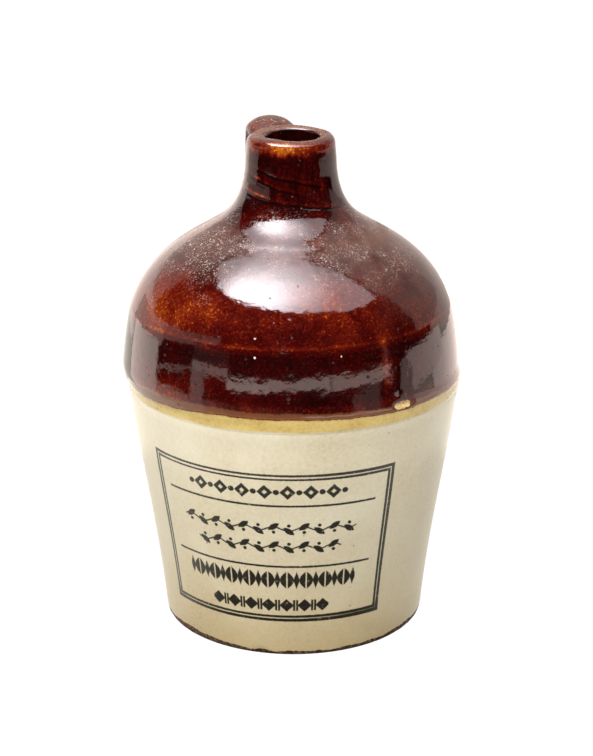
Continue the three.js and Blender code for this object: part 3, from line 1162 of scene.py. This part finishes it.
def brown_glaze(name, marks, roughness, ior):
    material, shader = new_finish(name, ior)
    ragged = noise(1400.0)[0]
    wander = (ragged - 0.5) * 0.5
    edge = stored("above_edge") + wander
    is_brown = rise(edge, -0.12, 0.12)
    thin = rise(stored("above_thin") + wander * 1.6, 0.25, -0.25) * rise(edge, 0.1, 0.42)
    brown = blend(thin * 0.75, glaze_brown(), tint(112, 72, 46))
    slip = color_ramp(mottle(150.0, 1500.0, 0.5), slip_stops)
    is_slip = rise(stored("above_slip") + wander * 1.3, -0.22, 0.28)
    color = blend(is_brown, blend(is_slip, use_group(cream_group)["Color"], slip), brown)

    drifted = noise(190.0, detail=3.0)[0]
    film = rise(drifted, 0.2, 0.6) * stored("film")
    color = blend(film * 0.6, color, tint(122, 92, 80))
    misty = rise(stored("film"), 0.55, 0.75)
    color = blend(misty * 0.75, color, tint(114, 78, 58))
    grit = noise(1500.0, detail=3.0, roughness=0.7)[0]
    color = blend(rise(grit, 0.46, 0.56) * misty * 0.85, color, tint(50, 22, 12))

    dusty = rise(drifted, 0.36, 0.6) * stored("dust")
    fine = specks(3300.0, 0.85, 0.58, 0.1)["Mask"]
    coarse = specks(1150.0, 0.4, 0.5, 0.2)
    lone = specks(300.0, 0.06, 0.12, 0.3)["Mask"]
    pale = largest(largest(fine, coarse["Mask"]) * dusty, lone)
    dust_color = blend(coarse["Random"], tint(200, 184, 174), tint(132, 112, 106))
    color = blend(pale * 0.75, color, dust_color)

    pits = specks(620.0, 0.22, 0.26, 0.5)["Mask"]
    color = blend(pits * 0.6, color, tint(30, 8, 7))
    is_chip = rise(stored("chip") + wander * 1.1, 0.42, 0.5)
    color = blend(is_chip, color, color_ramp(noise(3100.0)[0], chip_stops))
    for *mark_place, mark_color in marks:
        color = blend(mark_mask(wander, *mark_place), color, mark_color)
    feed(shader["Base Color"], color)

    rough = roughness + largest(pale * 0.4, misty * 0.5)
    rough = rough + largest(is_chip, pits) * 0.6 + (1 - is_brown) * 0.2
    feed(shader["Roughness"], rough)
    swell = use_group(ripple_group, Swell=1.0, Peel=0.62, Skin=0.12)["Height"]
    feed(shader["Normal"], bump(swell - pits * 0.5 + pale * 0.35 + is_chip * ragged))
    print(name, "has", len(tree.nodes), "nodes")
    return material


shoulder_finish = brown_glaze("brown_iron_glaze", shoulder_marks, roughness=0.06, ior=1.5)
handle_finish = brown_glaze("brown_strap_glaze", [], roughness=0.3, ior=1.3)
shoulder.data.materials.append(shoulder_finish)
handle.data.materials.append(handle_finish)

# %% [markdown]
# The front of the body carries a printed panel, stamped on under the glaze. The panel is
# drawn by arithmetic on two lengths: how far round the body a point is from the panel's middle,
# and how high it is. A shape is where a simple formula of the two is below nothing, such as the
# larger of two distances for a box, or their sum for a lozenge. The panel has a double frame
# and two rules, and its rows hold plain printer's ornaments: lozenges and dots, leaves on a
# stem, upright leaves with darts, and beads. A small noise on both lengths roughens the edges,
# as ink on clay does.

# %% Panel shapes
def magnitude(value):
    return calc("ABSOLUTE", value)


def smallest(*values):
    result = values[0]
    for value in values[1:]:
        result = calc("MINIMUM", result, value)
    return result


def box_distance(across, up, half_width, half_height):
    return largest(magnitude(across) - half_width, magnitude(up) - half_height)


def lozenge_distance(across, up, half_width, half_height):
    total = magnitude(across) / half_width + magnitude(up) / half_height
    return (total - 1) * (min(half_width, half_height) * 0.7)


def leaf_distance(along, across, half_length, half_width):
    """A pointed leaf: its half width shrinks with the square of the way along it."""
    share = along / half_length
    return magnitude(across) - (half_width - share * share * half_width)


def dot_distance(across, up, size):
    return calc("SQRT", across * across + up * up) - size


def repeated(across, pitch, offset=0.0):
    """The same length, starting again at each repeat, with 0 in the middle of each."""
    return calc("WRAP", across + offset, pitch / 2, -pitch / 2)


# %% Panel rows
def lozenge_row(across, up):
    pitch = 4.4
    cell, gap = repeated(across, pitch), repeated(across, pitch, pitch / 2)
    heart = lozenge_distance(cell, up, 0.5, 0.52)
    hollow = largest(lozenge_distance(cell, up, 1.55, 1.6), 0 - heart)
    return smallest(hollow, dot_distance(gap, up, 0.6))


def vine_row(across, up):
    pitch = 3.2
    swing = calc("SINE", across * (math.pi / pitch))
    stem = magnitude(up - swing * 0.5) - 0.19
    cell = repeated(across, pitch, pitch / 2)
    outward = up * calc("SIGN", swing) - 0.55
    along = cell * 0.80 + outward * 0.60
    aside = outward * 0.80 - cell * 0.60
    leaf = leaf_distance(along, aside, 1.45, 0.66)
    return smallest(stem, leaf, dot_distance(cell, outward + 1.35, 0.4))


def dart_row(across, up):
    pitch = 4.6
    cell, gap = repeated(across, pitch), repeated(across, pitch, pitch / 2)
    ribbed = largest(leaf_distance(up, cell, 2.35, 1.65), 0.16 - magnitude(cell))
    return smallest(ribbed, lozenge_distance(gap, up, 0.8, 2.3))


def bead_row(across, up):
    pitch = 4.6
    cell, gap = repeated(across, pitch), repeated(across, pitch, pitch / 2)
    reel = box_distance(magnitude(gap) - 0.38, up, 0.28, 1.5)
    return smallest(lozenge_distance(cell, up, 1.9, 1.75), reel)


rows = [
    # what is drawn, height of its middle, half length, size of the ornaments
    (lozenge_row, 42.4, 17.6, 1.1),
    (vine_row, 33.1, 20.2, 1.05),
    (vine_row, 28.4, 16.9, 1.05),
    (dart_row, 19.8, 20.9, 0.98),
    (bead_row, 13.2, 14.6, 0.95),
]

# %% Printed panel
panel_azimuth = -10.2  # degrees from the camera's side
panel_mean_radius = 34.2  # mm, turns degrees into a length round the body
panel_middle_height = 27.9
panel_half_width = 28.1
panel_half_height = 18.6
frame_gap = 0.95  # between the two lines of the frame
frame_weight = 0.27  # half the width of its outer line, heavier at the left, right and foot
rule_heights = (38.9, 23.3)
rule_half_length = 24.3
rule_half_width = 0.26
ink_blur = 0.09

panel_group, given, result = new_group("Printed Panel", {"Wobble": 0.22}, {"Ink": "NodeSocketFloat"})
spot = object_place()
forwards = dot(spot, to_camera)
turn = calc("ARCTAN2", dot(spot, to_right), forwards) - math.radians(panel_azimuth)
across, up = turn * panel_mean_radius, dot(spot, (0, 0, 1 / mm))
shake = split(noise(2300.0)[1])
across, up = (
    value + (part - 0.5) * given["Wobble"] for value, part in zip((across, up), shake)
)

from_middle = up - panel_middle_height
outer = box_distance(across, from_middle, panel_half_width, panel_half_height)
weight = frame_weight + rise(across, -22, -28) * 0.1 + rise(across, 0, 28) * 0.13
weight = weight + rise(from_middle, -15, -18) * 0.1
drawn = [magnitude(outer) - weight, magnitude(outer + frame_gap) - weight * 0.85]
for rule_height in rule_heights:
    drawn.append(box_distance(across, up - rule_height, rule_half_length, rule_half_width))
for draw, row_height, half_length, size in rows:
    motif = draw(across / size, (up - row_height) / size)
    drawn.append(largest(motif, magnitude(across) - half_length))
ink = rise(smallest(*drawn), ink_blur, -ink_blur)
worn = rise(noise(900.0, detail=3.0, roughness=0.7)[0], 0.72, 0.62)
in_front = rise(forwards, 0.0, 0.001)
feed(result["Ink"], ink * (worn * 0.5 + 0.5) * in_front)
print("printed panel group has", len(tree.nodes), "nodes")

# %% [markdown]
# The body's finish takes the cream group and adds some buff staining low down, and the print. At
# the foot the glaze stops short and bare clay shows, painted darker and wider as painted shade where the
# jug meets the floor. The inside has a dark brown slip.

# %% Cream glaze
# Bare clay at the foot, darkened further as painted shade along the floor.
bare_clay_and_shade_stops = [(0.35, tint(34, 22, 15)), (0.5, tint(62, 43, 28)), (0.68, tint(116, 90, 62))]
stain_heights = (26, 2)  # mm, where the staining begins and where it is full

cream_finish, shader = new_finish("cream_feldspar_glaze", 1.5)
glaze = use_group(cream_group)
low_down = rise(dot(object_place(), (0, 0, 1 / mm)), *stain_heights)
stain = rise(noise(120.0, detail=4.0, roughness=0.6)[0], 0.5, 0.72) * low_down
cream = blend(stain * 0.4, glaze["Color"], tint(186, 158, 112))
cream = blend(use_group(panel_group)["Ink"] * 0.98, cream, tint(15, 14, 8))
ragged = noise(1500.0, detail=3.0)[0]
glazed = rise((ragged - 0.5) * 0.5 + stored("above_foot"), -0.08, 0.08)
lining = stored("inside")
color = blend(glazed, color_ramp(ragged, bare_clay_and_shade_stops), cream)
feed(shader["Base Color"], blend(lining, color, tint(62, 24, 12)))
bare = (1 - glazed) * (1 - lining)
feed(shader["Roughness"], bare * 0.6 + 0.24 + glaze["Drift"] * 0.1)
skin = use_group(ripple_group, Swell=0.8, Peel=0.2, Skin=0.06)["Height"]
feed(shader["Normal"], bump(skin - glaze["Pits"] * 0.6 + bare * ragged * 1.5))
body.data.materials.append(cream_finish)
print("cream glaze has", len(tree.nodes), "nodes")

# %% [markdown]
# Last, each fine piece takes the place of its CAD node and rides on the jug's one body.

# %% Hand over to the frame
for piece, node, slot in (
    (body, "body", "cream_glaze"),
    (shoulder, "shoulder", "brown_glaze"),
    (handle, "handle", "brown_glaze"),
):
    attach(piece, "root")
    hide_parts(node)
    print(piece.name, "has", sum(len(face.vertices) - 2 for face in piece.data.polygons), "triangles")
